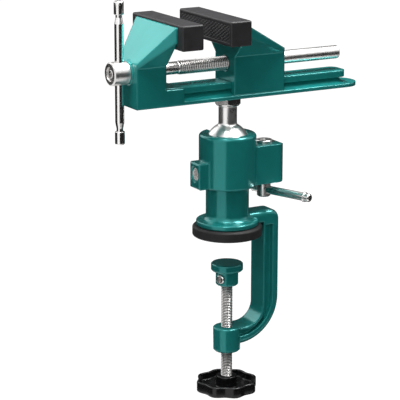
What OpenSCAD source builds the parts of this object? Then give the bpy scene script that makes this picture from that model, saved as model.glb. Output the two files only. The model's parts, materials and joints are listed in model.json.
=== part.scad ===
// Ball joint vise: a small table vise on a lockable ball joint, held to the bench by a C-clamp.
// Millimetres. The origin is on the post's axis at the underside of the rubber disc, where the bench
// top lies. +Z is up, +X runs along the vise's screw from the handle to the rear.

/* [Jaws] */
// Length of the jaw caps across the vise
jaw_w = 76; // [70:1:90]
// Thickness of a jaw cap along the screw
cap_t = 17.1; // [14:0.1:20]
// Height of a jaw cap
cap_h = 18.1; // [15:0.1:20]
// Height of the caps' top above the base's underside
jaw_top_h = 61.1; // [60:0.1:66]
// Opening between the caps as drawn
opening = 21.8; // [10:0.1:30]
// Width of a casting's head where its cap sits
head_w = 61; // [50:1:64]
// Depth that a casting's head sits in its cap
cap_wrap = 2.2; // [1.5:0.1:2.6]

/* [Base and rail] */
// Width of the base, the fixed block and the moving jaw
body_w = 28; // [26:0.5:32]
// Height of the base's underside above the bench
base_z = 104.5; // [103:0.5:112]
// Thickness of the base flange at its edge
flange_t = 2.7; // [2.4:0.1:3.4]
// Base length from the stud to the handle end
base_front = 82; // [80:0.5:90]
// Base length from the stud to the rounded end
base_rear = 109; // [105:0.5:125]
// Length of the fixed block along the screw
block_l = 23.5; // [20:0.5:24]
// Height of the fixed block's slope above the base's underside
block_h = 32.5; // [31:0.1:34]
// Length of the full-width foot beyond the block
foot_l = 14.5; // [8:0.5:20]
// Width of the rail's plate
rail_w = 18.8; // [17:0.1:20]
// Thickness of the rail's plate
rail_t = 4.9; // [4:0.1:5]
// Width of the rail's neck
neck_w = 12.8; // [12.4:0.1:14]
// Height of the rail's top above the base's underside
rail_h = 12.2; // [11.6:0.1:13]
// Radius of the cove between the flange and the rail's neck
cove_r = 7.4; // [7:0.1:8]

/* [Moving jaw] */
// Length of the moving jaw along the screw
slide_l = 42.2; // [36:0.2:50]
// Height of its rear end above the base's underside
slide_h = 34.5; // [33:0.1:37]

/* [Screw and handle] */
// Height of the screw's axis above the base's underside
screw_h = 24.9; // [24.5:0.1:26]
// Diameter of the screw's thread
thread_d = 10.4; // [9.5:0.1:10.5]
// Diameter of the screw's journal in the fixed block
journal_d = 9.2; // [8.8:0.1:9.4]
// Diameter of the plain rod behind the thread
rod_d = 10; // [9:0.1:10.2]
// Length of the thread
thread_l = 81; // [76:0.5:84]
// Length of the plain rod
rod_l = 55.4; // [50:0.2:62]
// Diameter of the handle hub
hub_d = 17; // [16:0.1:18]
// Length of the handle hub
hub_l = 12; // [11.6:0.1:14]
// Diameter of the handle bar
bar_d = 6.5; // [6:0.1:6.8]
// Length of the handle bar with its knobs
bar_l = 102.4; // [90:0.2:108]
// Diameter of the handle bar's knobs
bar_knob_d = 7.1; // [7:0.1:8]

/* [Ball joint] */
// Diameter of the ball
ball_d = 32; // [31.4:0.1:32]
// Height of the ball's centre above the bench
ball_z = 69.3; // [69:0.1:70]
// Diameter of the ball's stem
stem_d = 13.6; // [12:0.1:13.8]
// Width across the stud nut's flats
nut_af = 18.6; // [17:0.1:19]
// Height of the stud nut
nut_h = 6.4; // [5:0.1:7]
// Diameter of the opening that the ball looks out of
mouth_d = 28.6; // [27.6:0.1:29]

/* [Socket housing] */
// Outer diameter of the housing
housing_d = 42.4; // [41:0.1:45]
// Height of the housing's underside above the bench
housing_z = 37.8; // [37.4:0.1:38.4]
// Height of the housing's rim above the bench
rim_z = 77.3; // [77:0.1:78]
// Width of the notch that the stem swings into
notch_w = 15; // [14.6:0.1:16]
// Height of the notch's lowest point above the bench
notch_z = 58.3; // [57:0.1:60]
// Reach of the side lug from the post's axis
lug_x = 44; // [43:0.1:46]
// Width of the side lug
lug_w = 24; // [22:0.1:26]
// Height of the side lug's top above the bench
lug_z = 67; // [66:0.1:68]
// Reach of the set screw's boss from the post's axis
boss_x = 28; // [26:0.1:29]
// Width of the set screw's boss
boss_w = 14.4; // [13:0.1:16]
// Height of the set screw's boss
boss_h = 19.4; // [17:0.1:20]
// Height of the boss's top above the set screw
boss_rise = 8.6; // [8:0.1:9.4]
// Height of the set screw above the bench
guide_z = 49; // [48.8:0.1:49.2]

/* [Cam lever] */
// Distance of the cam shaft from the post's axis
cam_x = 31.5; // [31:0.1:32]
// Diameter of the cam shaft
cam_d = 12; // [11.6:0.1:12]
// Diameter of the cam shaft's lower end, which the lever crosses
cam_stub_d = 10.2; // [9.6:0.1:10.8]
// Height of the cam shaft's lower end above the bench
cam_z = 25.7; // [25:0.1:27]
// Movement of the brake plunger
brake_stroke = 1; // [0.8:0.1:1.2]
// Turn of the lever from locked to free, in degrees
cam_turn = 80; // [60:5:90]
// Direction of the locked lever, in degrees from +X
lever_dir = -70; // [-80:5:-60]
// Height of the lever above the bench
lever_z = 31; // [30:0.1:32]
// Diameter of the lever
lever_d = 6.2; // [5.6:0.1:6.4]
// Reach of the lever from the cam shaft's axis
lever_l = 43.6; // [38:0.2:50]

/* [Clamp frame] */
// Diameter of the post
post_d = 32; // [31.4:0.1:32]
// Diameter of the flange at the post's foot
foot_d = 46.4; // [44:0.1:48]
// Diameter of the rubber disc
disc_d = 52; // [50:0.1:52]
// Thickness of the rubber disc
disc_t = 8; // [7:0.1:9]
// Distance of the spine's inner face from the post's axis
spine_in = 26.5; // [26.2:0.1:28]
// Thickness of the spine
spine_t = 14.3; // [12:0.1:16]
// Width of the frame's arms
frame_w = 18.3; // [17:0.1:20]
// Height of the top arm above the bench
arm_z = 16.5; // [14.5:0.1:17.5]
// Radius of the frame's upper corner
corner_r = 7.5; // [7:0.5:9]
// Radius of the frame's lower bend, outside
bend_r = 34; // [32:0.5:34]
// Radius of the frame's lower bend, inside
throat_r = 14.6; // [14:0.1:16]
// Radius of the rounded edges on the frame's outer side
crown_r = 4.2; // [3:0.1:4.6]
// Depth of the hollow in each side of the frame
web_cut = 4.2; // [3:0.1:4.6]
// Height of the lower boss's top, below the bench
boss_top = 71.7; // [71:0.1:74]
// Length of the lower boss
boss_l = 18.7; // [16:0.1:20]
// Diameter of the lower boss
boss_d = 20.6; // [19.6:0.1:22]

/* [Spindle and pad] */
// Diameter of the spindle's thread
spindle_d = 8.7; // [8:0.1:9]
// Gap between the rubber disc and the pad as drawn
pad_gap = 21.8; // [10:0.1:22]
// Diameter of the pad
pad_d = 24; // [22:0.1:25]
// Thickness of the pad's disc
pad_t = 5.9; // [5:0.1:7]
// Diameter of the pad's collar
collar_d = 16.9; // [16:0.1:18]
// Height of the pad's collar
collar_h = 11; // [10:0.1:11]
// Diameter over the hand wheel's lobes
wheel_d = 47; // [42:0.2:50]
// Height of the hand wheel's rim
wheel_h = 8.4; // [8:0.1:11]
// Lobes of the hand wheel
wheel_lobes = 8; // [6:1:10]
// Depth of the hollows between the wheel's lobes
lobe_depth = 2.2; // [1:0.1:3]
// Distance of the rim's top below the bench
wheel_z = 113.4; // [112:0.1:116]
// Height of the wheel's hub above its rim
wheel_hub_rise = 3; // [2:0.1:3.4]

/* [Fits] */
// Radial clearance of running fits
run_gap = 0.06; // [0.03:0.01:0.09]
// Clearance of seats that don't move
seat_gap = 0.04; // [0.02:0.01:0.1]
// Clearance of the moving jaw on the rail
rail_gap = 0.1; // [0.08:0.01:0.15]
// Clearance of loose pieces that move past each other
free_gap = 0.4; // [0.35:0.05:0.6]

/* [Hidden] */
$fn = 64;
over = 1;

teal = [0.07, 0.42, 0.39];
black = [0.13, 0.13, 0.14];
steel = [0.75, 0.76, 0.78];
brass = [0.78, 0.62, 0.30];
bronze = [0.66, 0.50, 0.32];

// Heights of the head, above the bench
flange_z = base_z + flange_t;
rail_z = base_z + rail_h;
neck_z = rail_z - rail_t;
screw_z = base_z + screw_h;
cap_top_z = base_z + jaw_top_h;
cap_z = cap_top_z - cap_h;
head_edge = 1;
fixed_head_top_z = cap_top_z - 2.1;
moving_head_top_z = cap_top_z - 4.4;
head_z = cap_z + head_edge;
head_cut = 4.5;
head_root_t = 3.2;

// Stations along the screw
block_x = -base_front;
fixed_back_x = block_x + block_l;
fixed_face_x = fixed_back_x + cap_t;
moving_face_x = fixed_face_x + opening;
moving_back_x = moving_face_x + cap_t;
slide_end_x = moving_back_x + slide_l;
foot_end_x = fixed_back_x + foot_l;
rail_end_x = base_rear - 11.2;
neck_end_x = rail_end_x - (rail_w - neck_w) / 2;
cove_foot = neck_w / 2 + 6.6;

// Jaw castings' cores inside the caps
core_w = head_w - 2;
core_l = cap_t - 3.7;
core_h = cap_h - 7;
core_z = cap_z + 2.2;

// Screw, hub and handle bar
collar_ring_t = 1.2;
collar_ring_d = hub_d + 1;
washer_t = 1;
hub_x = block_x - collar_ring_t - washer_t - 2 * seat_gap;
hub_end_x = hub_x - hub_l;
bar_x = hub_end_x + 7.7;
journal_tip_x = bar_x - bar_d / 2 - 0.6;
thread_x = fixed_back_x + 16.5;
thread_end_x = thread_x + thread_l;
rod_end_x = thread_end_x + rod_l;
clip_t = 1;
clip_seat_depth = 3;
clip_seat_d = 16;
clip_x = fixed_back_x - clip_seat_depth + seat_gap;
clip_groove_d = journal_d - 1.6;
bar_knob_l = 9.5;
bar_neck_l = 2;
bar_neck_d = 4.7;
bar_cone_l = 4.5;
bar_spigot_d = 3.6;
lock_d = 6;

// Nut in the moving jaw
jaw_nut_d = 16;
jaw_nut_l = 12.5;
nut_wall = 2.5;
jaw_nut_x = moving_back_x + nut_wall;
nut_lock_d = 5;
nut_lock_x = jaw_nut_x + jaw_nut_l / 2;

// Ball joint
socket_r = ball_d / 2 + run_gap;
stud_d = 10;
nut_z = base_z - seat_gap - nut_h;
stud_top_z = rail_z - 3;
seat_floor_z = ball_z - ball_d / 2 - 2.8;
seat_r = 9.5;
post_top_z = seat_floor_z + 3.5;
groove_depth = 1.8;
guide_tip_d = 4.6;
guide_d = 10;

// Cam and plunger
plunger_z = ball_z - 9.3;
plunger_d = 7;
cam_offset = brake_stroke / 2 / sin(cam_turn / 2);
cam_mid_dir = 180 + 90 - cam_turn / 2;
cam_core_r = cam_d / 2 - cam_offset - 0.2;
cam_core_h = plunger_d + 1;
cam_reach = cam_core_r + cam_offset * cos(cam_mid_dir - 180);
plunger_end_x = cam_x - cam_reach - run_gap;
plunger_tip_x = seat_r + 1.3;
cam_head_d = cam_d + 0.6;
cam_head_t = 2;

// Clamp frame
spine_out = spine_in + spine_t;
corner_z = arm_z - corner_r;
boss_bottom_z = -boss_top - boss_l;
bend_lift = 5.4;
bend_x = spine_out - bend_r;
bend_z = boss_bottom_z + bend_lift + bend_r;
throat_x = spine_in - throat_r;
throat_z = throat_r - boss_top;
spigot_d = 24;
spigot_h = 3;
foot_t = 4;
foot_fillet = 5;
inner_rib = 1.9;
outer_rib = 6.4;
web_top_z = 5.5;
web_t = frame_w - 2 * web_cut;
guide_groove_h = guide_tip_d + 2 * free_gap;

// Spindle, pad and wheel
pad_top_z = -pad_gap;
collar_top_z = pad_top_z - pad_t;
collar_z = collar_top_z - collar_h;
spindle_top_z = pad_top_z - pad_t - 1.9;
pad_screw_z = collar_top_z - collar_h / 2;
pad_screw_dir = 205;
pad_screw_head_d = 6.6;
pad_shank_d = 4;
pad_groove_d = spindle_d - 2.3;
wheel_bottom_z = -wheel_z - wheel_h;
wheel_hub_d = 15.6;
spindle_end_z = wheel_bottom_z + 3.8;
wheel_phase = -10.5;

// Solid of revolution about Z from a list of [radius, height]
module turned(points) {
  rotate_extrude()
    polygon(points);
}

// Round bar along Z with chamfered ends
module bar(d, z0, z1, c0 = 0, c1 = 0) {
  r = d / 2;
  low = c0 > 0 ? [[r - c0, z0], [r, z0 + c0]] : [[r, z0]];
  high = c1 > 0 ? [[r, z1 - c1], [r - c1, z1]] : [[r, z1]];
  turned(concat([[0, z0]], low, high, [[0, z1]]));
}

// Children drawn along +Z are laid along +X from x at height z
module lay_x(x, z) {
  translate([x, 0, z])
    rotate([0, 90, 0])
      children();
}

// Children drawn along +Z are laid along +Y from y
module lay_y(x, y, z) {
  translate([x, y, z])
    rotate([-90, 0, 0])
      children();
}

// Hexagonal socket, its mouth at height z
module hex_socket(af, z, depth) {
  translate([0, 0, z - depth])
    cylinder(d = af / cos(30), h = depth + over, $fn = 6);
}

// Block from corner a to corner b with its edges along Y and Z cut at 45 degrees by c
module cut_block(a, b, c) {
  intersection() {
    translate([0, b[1], 0])
      rotate([90, 0, 0])
        linear_extrude(b[1] - a[1])
          cut_corners(a[0], a[2], b[0], b[2], c);
    translate([0, 0, a[2]])
      linear_extrude(b[2] - a[2])
        cut_corners(a[0], a[1], b[0], b[1], c);
  }
}

// Rectangle from (x0, y0) to (x1, y1) with its corners cut by c
module cut_corners(x0, y0, x1, y1, c) {
  polygon([
    [x0 + c, y0], [x1 - c, y0], [x1, y0 + c], [x1, y1 - c],
    [x1 - c, y1], [x0 + c, y1], [x0, y1 - c], [x0, y0 + c]
  ]);
}

// Rectangle from x0 to x1, w wide, with its corners at x1 rounded by r
module rounded_end(x0, x1, w, r) {
  translate([x0, -w / 2])
    square([x1 - r - x0, w]);
  translate([x0, -w / 2 + r])
    square([x1 - x0, w - 2 * r]);
  intersection() {
    translate([x0, -w / 2])
      square([x1 - x0, w]);
    for (side = [-1, 1])
      translate([x1 - r, side * (w / 2 - r)])
        circle(r = r);
  }
}

// Outline of the C-frame in the XZ plane, set in from its inner edge by a and its outer edge by b
module frame_outline(a, b) {
  difference() {
    union() {
      translate([0, bend_z])
        square([spine_out - b, corner_z - bend_z]);
      translate([0, corner_z])
        square([spine_out - corner_r, corner_r - b]);
      intersection() {
        translate([spine_out - corner_r, corner_z])
          circle(r = corner_r - b);
        translate([spine_out - corner_r, corner_z])
          square(corner_r);
      }
      intersection() {
        translate([bend_x, bend_z])
          circle(r = bend_r - b);
        translate([bend_x, bend_z - bend_r])
          square(bend_r);
      }
    }
    translate([throat_x, throat_z])
      circle(r = throat_r + a);
    translate([-over, throat_z - throat_r - a])
      square([throat_x + over, throat_r + a]);
    translate([-over, throat_z])
      square([spine_in + over + a, disc_t + a - throat_z]);
  }
}

// Band t thick along the frame's throat, from the upper corner to the boss
module throat_band(t) {
  difference() {
    frame_outline(0, 0);
    frame_outline(t, -over);
    translate([-over, corner_z])
      square([spine_out + 2 * over, corner_r + over]);
    translate([-over, boss_bottom_z - over])
      square([spine_out + over, -boss_top - t - boss_bottom_z + over]);
  }
}

// Quarter ring of the children's section about the Y axis through (x, z), up or down
module corner_sweep(x, z, size, up) {
  intersection() {
    translate([x, 0, z])
      rotate([90, 0, 0])
        rotate_extrude()
          children();
    translate([x, -frame_w, up ? z : z - size])
      cube([size, 2 * frame_w, size]);
  }
}

// Outline turned upright and given a thickness from y0 to y1
module upright(y0, y1) {
  translate([0, y1, 0])
    rotate([90, 0, 0])
      linear_extrude(y1 - y0)
        children();
}

// Post with its flange, fillet and the spigot that centres the rubber disc
module post_body() {
  rotate_extrude() {
    translate([0, disc_t])
      square([post_d / 2, post_top_z - disc_t]);
    translate([0, disc_t])
      square([foot_d / 2 - 1, foot_t]);
    translate([0, disc_t + 1])
      square([foot_d / 2, foot_t - 2]);
    for (z = [disc_t + 1, disc_t + foot_t - 1])
      translate([foot_d / 2 - 1, z])
        circle(r = 1);
    difference() {
      translate([0, disc_t + foot_t])
        square([post_d / 2 + foot_fillet, foot_fillet]);
      translate([post_d / 2 + foot_fillet, disc_t + foot_t + foot_fillet])
        circle(r = foot_fillet);
    }
  }
}

// Solid arm from the post to the frame's upper corner, with its top edges rounded
module top_arm() {
  translate([spine_out - corner_r, 0, 0])
    rotate([0, -90, 0])
      linear_extrude(spine_out - corner_r)
        rounded_end(disc_t, arm_z, frame_w, crown_r);
}

module clamp_frame() {
  color(teal)
    difference() {
      union() {
        post_body();
        translate([0, 0, disc_t - spigot_h])
          cylinder(d = spigot_d, h = spigot_h + over);
        top_arm();
        corner_sweep(spine_out - corner_r, corner_z, corner_r, true)
          rounded_end(0, corner_r, frame_w, crown_r);
        translate([0, 0, bend_z])
          linear_extrude(corner_z - bend_z)
            rounded_end(spine_out - outer_rib, spine_out, frame_w, crown_r);
        translate([0, 0, web_top_z])
          linear_extrude(corner_z - web_top_z)
            rounded_end(spine_in, spine_out, frame_w, crown_r);
        corner_sweep(bend_x, bend_z, bend_r, false)
          rounded_end(bend_r - outer_rib, bend_r, frame_w, crown_r);
        upright(-web_t / 2, web_t / 2)
          frame_outline(0, outer_rib / 2);
        upright(-frame_w / 2, frame_w / 2)
          throat_band(inner_rib);
        bar(boss_d, boss_bottom_z, -boss_top, 1.2, 0.8);
      }
      translate([0, 0, boss_bottom_z - over])
        cylinder(d = spindle_d + 2 * run_gap, h = boss_l + 2 * over);
      translate([0, 0, seat_floor_z])
        cylinder(r = seat_r + seat_gap, h = 20);
      translate([0, 0, seat_floor_z - 2])
        cylinder(r = seat_r - 4, h = 20);
      difference() {
        translate([0, 0, guide_z - guide_groove_h / 2])
          cylinder(d = post_d + 2 * over, h = guide_groove_h);
        cylinder(d = post_d - 2 * groove_depth, h = guide_z + guide_groove_h);
      }
    }
}

module bench_disc() {
  color(black)
    difference() {
      bar(disc_d, 0, disc_t - seat_gap, 0.8, 1.4);
      translate([0, 0, disc_t - spigot_h - seat_gap])
        cylinder(d = spigot_d + 2 * seat_gap, h = spigot_h + over);
    }
}

module ball_seat() {
  color(bronze)
    difference() {
      translate([0, 0, seat_floor_z])
        cylinder(r = seat_r, h = 8);
      translate([0, 0, ball_z])
        sphere(r = socket_r);
      translate([0, 0, seat_floor_z - over])
        cylinder(r = 4.4, h = 10);
    }
}

// Housing's body of revolution, with a rounded rim
module housing_body() {
  rim_r = 2.4;
  foot_c = 0.8;
  top_r = housing_d / 2 - rim_r;
  rotate_extrude() {
    polygon([
      [0, housing_z], [housing_d / 2 - foot_c, housing_z], [housing_d / 2, housing_z + foot_c],
      [housing_d / 2, rim_z - rim_r], [0, rim_z - rim_r]
    ]);
    translate([0, rim_z - rim_r - over])
      square([top_r, rim_r + over]);
    translate([top_r, rim_z - rim_r])
      circle(r = rim_r);
  }
}

// Side lug that holds the cam shaft
module lug() {
  edge_r = 3.6;
  plan_r = 8;
  intersection() {
    translate([0, 0, housing_z])
      linear_extrude(lug_z - housing_z)
        rounded_end(0, lug_x, lug_w, plan_r);
    upright(-lug_w, lug_w)
      translate([0, (housing_z + lug_z) / 2])
        rounded_end(0, lug_x, lug_z - housing_z, edge_r);
  }
}

module socket_housing() {
  boss_top_z = guide_z + boss_rise;
  color(teal)
    difference() {
      union() {
        housing_body();
        lug();
        cut_block([-boss_x, -boss_w / 2, boss_top_z - boss_h], [0, boss_w / 2, boss_top_z], 1);
      }
      translate([0, 0, housing_z - over])
        cylinder(r = post_d / 2 + run_gap, h = ball_z - housing_z + over);
      translate([0, 0, ball_z])
        sphere(r = socket_r);
      translate([0, 0, ball_z])
        cylinder(d = mouth_d, h = 20);
      translate([0, 0, rim_z - 1.1])
        cylinder(d1 = mouth_d, d2 = mouth_d + 4.4, h = 2.2);
      lay_y(0, 0, notch_z + notch_w / 2)
        cylinder(d = notch_w, h = housing_d);
      translate([-notch_w / 2, 0, notch_z + notch_w / 2])
        cube([notch_w, housing_d, rim_z - notch_z]);
      translate([cam_x, 0, housing_z - over])
        cylinder(r = cam_d / 2 + run_gap, h = lug_z - housing_z + 2 * over);
      lay_x(plunger_tip_x - 2, plunger_z)
        cylinder(r = plunger_d / 2 + run_gap, h = cam_x - plunger_tip_x);
      lay_x(-boss_x - over, guide_z)
        cylinder(d = guide_d + 2 * seat_gap, h = boss_x);
      lay_x(-boss_x - over, guide_z)
        cylinder(d = guide_d + 1.6, h = over + 0.9);
    }
}

module guide_screw() {
  tip_x = -post_d / 2 + groove_depth - free_gap;
  body_end_x = -post_d / 2 - 0.6;
  head_x = -boss_x + 1;
  color(steel)
    lay_x(0, guide_z)
      difference() {
        union() {
          bar(guide_d, head_x, body_end_x, 0.8, 0.6);
          bar(guide_tip_d, body_end_x - over, tip_x, 0, 0.3);
        }
        mirror([0, 0, 1])
          hex_socket(5, -head_x, 4);
      }
}

module brake_plunger() {
  color(bronze)
    difference() {
      lay_x(0, plunger_z)
        bar(plunger_d, plunger_tip_x, plunger_end_x, 0, 0.5);
      translate([0, 0, ball_z])
        sphere(r = socket_r);
    }
}

module cam_shaft() {
  core_z = plunger_z - cam_core_h / 2;
  color(steel)
    difference() {
      union() {
        translate([cam_x, 0, 0]) {
          bar(cam_stub_d, cam_z, housing_z + over, 0.8, 0);
          bar(cam_d, housing_z + 0.4, core_z, 0.4, 0);
          bar(cam_d, core_z + cam_core_h, lug_z + 1);
          translate([0, 0, lug_z + seat_gap])
            bar(cam_head_d, 0, cam_head_t, 0, 0.5);
          translate([cam_offset * cos(cam_mid_dir), cam_offset * sin(cam_mid_dir), core_z - over])
            cylinder(r = cam_core_r, h = cam_core_h + 2 * over);
        }
      }
      translate([cam_x, 0, lug_z + seat_gap + cam_head_t - 1.2])
        cylinder(d = 7.2, h = 5);
      translate([cam_x, 0, lever_z])
        rotate([0, 90, lever_dir])
          translate([0, 0, -cam_d])
            cylinder(d = lever_d + 2 * seat_gap, h = 2 * cam_d);
    }
}

// Lever along +Z, its zero on the cam shaft's axis
module cam_lever() {
  stub_l = 11;
  color(steel)
    translate([cam_x, 0, lever_z])
      rotate([0, 90, lever_dir])
        union() {
          bar(lever_d, -stub_l, lever_l - 6.2, 0.6, 0);
          bar(lever_d - 1.6, lever_l - 7, lever_l - 1.2);
        }
}

module lever_knob() {
  knob_d = lever_d + 1.3;
  color(steel)
    translate([cam_x, 0, lever_z])
      rotate([0, 90, lever_dir])
        difference() {
          union() {
            bar(lever_d, lever_l - 6.2 + seat_gap, lever_l, 0, 0.9);
            bar(knob_d, lever_l - 6.2 + seat_gap, lever_l - 4.4, 0.3, 0.3);
          }
          translate([0, 0, lever_l - 7])
            cylinder(d = lever_d - 1.6 + 2 * seat_gap, h = 5.8 + seat_gap);
        }
}

module ball_stud() {
  neck_r = 2.2;
  neck_z = ball_z + sqrt(pow(ball_d / 2, 2) - pow(stem_d / 2, 2)) - 0.4;
  color(steel)
    union() {
      translate([0, 0, ball_z])
        sphere(d = ball_d, $fn = 96);
      bar(stem_d, ball_z, nut_z - seat_gap, 0, 0.8);
      turned([
        [0, neck_z - 2], [stem_d / 2 + neck_r, neck_z - 2.4], [stem_d / 2 + 0.6, neck_z],
        [stem_d / 2 + 0.25, neck_z + 1.2], [stem_d / 2, neck_z + neck_r], [0, neck_z + neck_r]
      ]);
      bar(stud_d, nut_z - 1, stud_top_z, 0, 1);
    }
}

module stud_nut() {
  washer_face_d = nut_af - 1.2;
  washer_face_h = 1.2;
  corner_cut = 0.9;
  corner_d = nut_af / cos(30);
  color(steel)
    difference() {
      translate([0, 0, nut_z])
        union() {
          bar(washer_face_d, 0, washer_face_h + over, 0.4, 0);
          intersection() {
            translate([0, 0, washer_face_h])
              cylinder(d = corner_d, h = nut_h - washer_face_h, $fn = 6);
            turned([
              [0, washer_face_h], [nut_af / 2 - 0.1, washer_face_h],
              [corner_d / 2 + 0.1, washer_face_h + corner_cut], [corner_d / 2 + 0.1, nut_h], [0, nut_h]
            ]);
          }
        }
      translate([0, 0, nut_z - over])
        cylinder(d = stud_d + 2 * run_gap, h = nut_h + 2 * over);
    }
}

// Outline of a casting's head up to top_z across the vise, grown by gap, its lower corners cut
module head_outline(top_z, gap) {
  half_w = head_w / 2 + gap;
  polygon([
    [head_cut - half_w, head_z - gap], [half_w - head_cut, head_z - gap], [half_w, head_z + head_cut],
    [half_w, top_z + gap], [-half_w, top_z + gap], [-half_w, head_z + head_cut]
  ]);
}

// Flared casting head: from a body between x0 and x1 to its front at front_x, up to top_z,
// with a straight tongue of the head's outline in front of the body that sits in a cap
module flared_head(x0, x1, body_top_z, front_x, top_z) {
  root_z = body_top_z - head_root_t;
  toward = front_x == x1 ? 1 : -1;
  plate_x = front_x - toward * 0.6;
  tongue_x = front_x - toward * 0.3;
  tip_x = front_x + toward * cap_wrap;
  hull() {
    translate([x0, -body_w / 2, root_z])
      cube([x1 - x0, body_w, head_root_t]);
    along_x(min(front_x, plate_x), max(front_x, plate_x))
      head_outline(top_z, 0);
  }
  along_x(min(tongue_x, tip_x), max(tongue_x, tip_x))
    head_outline(top_z, 0);
}

// Section of the rail across the vise, grown by gap: plate, neck and coves down to the flange
module rail_section(gap) {
  translate([-rail_w / 2 - gap, neck_z - gap])
    square([rail_w + 2 * gap, rail_t + 2 * gap]);
  translate([-neck_w / 2 - gap, base_z])
    square([neck_w + 2 * gap, rail_h]);
  for (side = [0, 1])
    mirror([side, 0])
      cove_section(gap);
}

// Cove beside the neck, grown by gap
module cove_section(gap) {
  difference() {
    translate([0, base_z])
      square([cove_foot, neck_z - base_z]);
    translate([cove_foot, flange_z + cove_r])
      circle(r = cove_r - gap);
  }
}

// Children's section across the vise drawn out from x0 to x1
module along_x(x0, x1) {
  translate([x0, 0, 0])
    rotate([90, 0, 90])
      linear_extrude(x1 - x0)
        children();
}

module base_rail() {
  block_top_z = base_z + block_h;
  rail_corner_r = 5.5;
  cove_x = neck_end_x - neck_w / 2;
  color(teal)
    difference() {
      union() {
        translate([0, 0, base_z])
          linear_extrude(flange_t)
            rounded_end(block_x, base_rear, body_w, body_w / 2 - 0.5);
        translate([0, 0, neck_z])
          linear_extrude(rail_t)
            rounded_end(fixed_back_x, rail_end_x, rail_w, rail_corner_r);
        along_x(fixed_back_x, cove_x)
          rail_section(0);
        translate([cove_x, 0, 0])
          rotate_extrude()
            cove_section(0);
        translate([block_x, -body_w / 2, base_z])
          cube([foot_end_x - block_x, body_w, rail_h - 0.2]);
        translate([block_x, -body_w / 2, base_z])
          cube([block_l, body_w, block_h]);
        flared_head(block_x, fixed_back_x, block_top_z, fixed_back_x, fixed_head_top_z);
        translate([fixed_back_x + cap_wrap - over, -core_w / 2, core_z])
          cube([core_l - cap_wrap + over, core_w, core_h]);
        lay_x(block_x - collar_ring_t, screw_z)
          bar(collar_ring_d, 0, collar_ring_t + over, 0.8, 0);
      }
      lay_x(block_x - 10, screw_z)
        cylinder(d = journal_d + 2 * run_gap, h = block_l + 20);
      lay_x(fixed_back_x - clip_seat_depth, screw_z)
        cylinder(d = clip_seat_d, h = clip_seat_depth + over);
      translate([0, 0, base_z - over])
        cylinder(d = stud_d + 2 * run_gap, h = over + stud_top_z - base_z + 0.5);
    }
}

// Hollow jaw cap with its gripping face at face_x and its back at back_x, for a head up to top_z
module jaw_cap(face_x, back_x, top_z) {
  cap_edge = 0.6;
  toward = back_x > face_x ? 1 : -1;
  wrap = cap_wrap + 0.5;
  recess_x = toward > 0 ? back_x - wrap : back_x - over;
  color(black)
    difference() {
      cut_block([min(face_x, back_x), -jaw_w / 2, cap_z],
                [max(face_x, back_x), jaw_w / 2, cap_top_z], cap_edge);
      translate([toward > 0 ? back_x - core_l - seat_gap : back_x - over,
                 -core_w / 2 - seat_gap, core_z - seat_gap])
        cube([core_l + seat_gap + over, core_w + 2 * seat_gap, core_h + 2 * seat_gap]);
      along_x(recess_x, recess_x + wrap + over)
        head_outline(top_z, seat_gap);
    }
}

module fixed_cap() {
  jaw_cap(fixed_face_x, fixed_back_x + seat_gap, fixed_head_top_z);
}

module moving_cap() {
  jaw_cap(moving_face_x, moving_back_x - seat_gap, moving_head_top_z);
}

module moving_jaw() {
  lip_z = flange_z + rail_gap;
  color(teal)
    difference() {
      union() {
        translate([moving_back_x, -body_w / 2, lip_z])
          cube([slide_l, body_w, base_z + slide_h - lip_z]);
        flared_head(moving_back_x, slide_end_x, base_z + slide_h, moving_back_x, moving_head_top_z);
        translate([moving_back_x - core_l, -core_w / 2, core_z])
          cube([core_l - cap_wrap + over, core_w, core_h]);
      }
      along_x(moving_back_x - over, slide_end_x + over)
        rail_section(rail_gap);
      lay_x(jaw_nut_x - seat_gap, screw_z)
        cylinder(d = jaw_nut_d + 2 * seat_gap, h = slide_end_x - jaw_nut_x + over);
      lay_x(moving_back_x - over, screw_z)
        cylinder(d = thread_d + 2 * free_gap, h = slide_l);
      lay_y(nut_lock_x, 4, screw_z)
        cylinder(d = nut_lock_d + 2 * seat_gap, h = body_w);
    }
}

module jaw_nut() {
  color(brass)
    difference() {
      lay_x(0, screw_z)
        bar(jaw_nut_d, jaw_nut_x, jaw_nut_x + jaw_nut_l, 0.6, 0.6);
      lay_x(jaw_nut_x - over, screw_z)
        cylinder(d = thread_d + 2 * run_gap, h = jaw_nut_l + 2 * over);
      lay_y(nut_lock_x, jaw_nut_d / 2 - 1.2, screw_z)
        cylinder(d = nut_lock_d + 2 * seat_gap, h = 10);
    }
}

module nut_lock_screw() {
  tip_y = jaw_nut_d / 2 - 1.2 + seat_gap;
  head_y = body_w / 2 - 0.4;
  color(steel)
    lay_y(nut_lock_x, 0, screw_z)
      difference() {
        bar(nut_lock_d, tip_y, head_y, 0.4, 0.5);
        hex_socket(2.5, head_y, 2.2);
      }
}

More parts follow.
